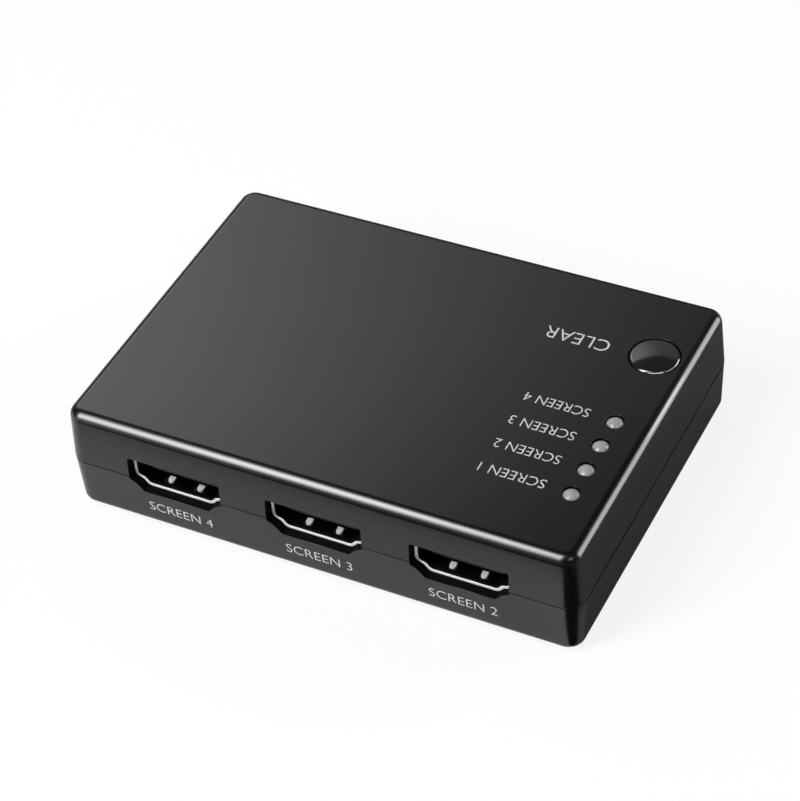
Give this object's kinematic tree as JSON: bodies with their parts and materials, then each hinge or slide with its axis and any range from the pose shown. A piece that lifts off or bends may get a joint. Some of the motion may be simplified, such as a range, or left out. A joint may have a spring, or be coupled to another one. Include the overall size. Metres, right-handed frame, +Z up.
{
  "type": "video splitter",
  "caption": "Flat black plastic video splitter box with video sockets front and rear, status lamps and a press-in reset button on top, and a power jack.",
  "frame": {"origin": "on the plane of the feet, under the middle of the box", "axes": "+X to the right along the wide front with the row of outputs, +Y to the rear, +Z up"},
  "size_m": [0.084, 0.059, 0.0196],
  "materials": {
    "cover_plastic": "satin black moulded plastic",
    "base_plastic": "satin black moulded plastic",
    "button_plastic": "smooth black moulded plastic",
    "lens_resin": "milky grey resin",
    "black_plastic": "black moulded plastic",
    "socket_steel": "bright plated sheet",
    "plated_metal": "tinned",
    "gilt_contact": "gold plated",
    "can_metal": "bright drawn can",
    "screw_steel": "plated steel",
    "foot_rubber": "matt black rubber",
    "board_laminate": "black solder resist",
    "chip_resin": "matt black moulding resin",
    "ferrite": "grey ferrite",
    "ceramic": "tan ceramic"
  },
  "bodies": {
    "housing": {"top_cover": "cover_plastic", "bottom_cover": "base_plastic", "case_screws": "screw_steel", "rubber_feet": "foot_rubber", "main_board": "board_laminate", "power_jack_body": "black_plastic", "power_jack_pin": "plated_metal", "power_jack_spring": "plated_metal", "switch_body": "black_plastic", "switch_cover": "plated_metal", "switch_dome": "gilt_contact", "switch_legs": "plated_metal", "led_1": "lens_resin", "led_2": "lens_resin", "led_3": "lens_resin", "led_4": "lens_resin", "led_leads": "plated_metal", "splitter_chip": "chip_resin", "chip_leads": "plated_metal", "memory_chip": "chip_resin", "memory_leads": "plated_metal", "voltage_regulator": "chip_resin", "regulator_leads": "plated_metal", "crystal_can": "can_metal", "crystal_base": "black_plastic", "power_inductor": "ferrite", "capacitor_cans": "can_metal", "capacitor_bases": "black_plastic", "ceramic_capacitors": "ceramic", "resistors": "chip_resin", "protection_arrays": "chip_resin", "output_1_shell": "socket_steel", "output_1_insulator": "black_plastic", "output_1_contacts": "gilt_contact", "output_2_shell": "socket_steel", "output_2_insulator": "black_plastic", "output_2_contacts": "gilt_contact", "output_3_shell": "socket_steel", "output_3_insulator": "black_plastic", "output_3_contacts": "gilt_contact", "output_4_shell": "socket_steel", "output_4_insulator": "black_plastic", "output_4_contacts": "gilt_contact", "input_shell": "socket_steel", "input_insulator": "black_plastic", "input_contacts": "gilt_contact"},
    "button": {"reset_button": "button_plastic"},
    "plunger": {"switch_plunger": "black_plastic"}
  },
  "joints": [
    {"name": "reset_press", "type": "slide", "parent": "housing", "child": "button", "axis": [0, 0, -1], "range_m": [0, 0.0003], "stiffness_N_per_m": 1500},
    {"name": "plunger_press", "type": "slide", "parent": "housing", "child": "plunger", "axis": [0, 0, -1], "range_m": [0, 0.0003], "deforming": ["switch_dome"]}
  ],
  "couplings": [
    {"joint": "plunger_press", "follows": "reset_press", "ratio": 1}
  ]
}
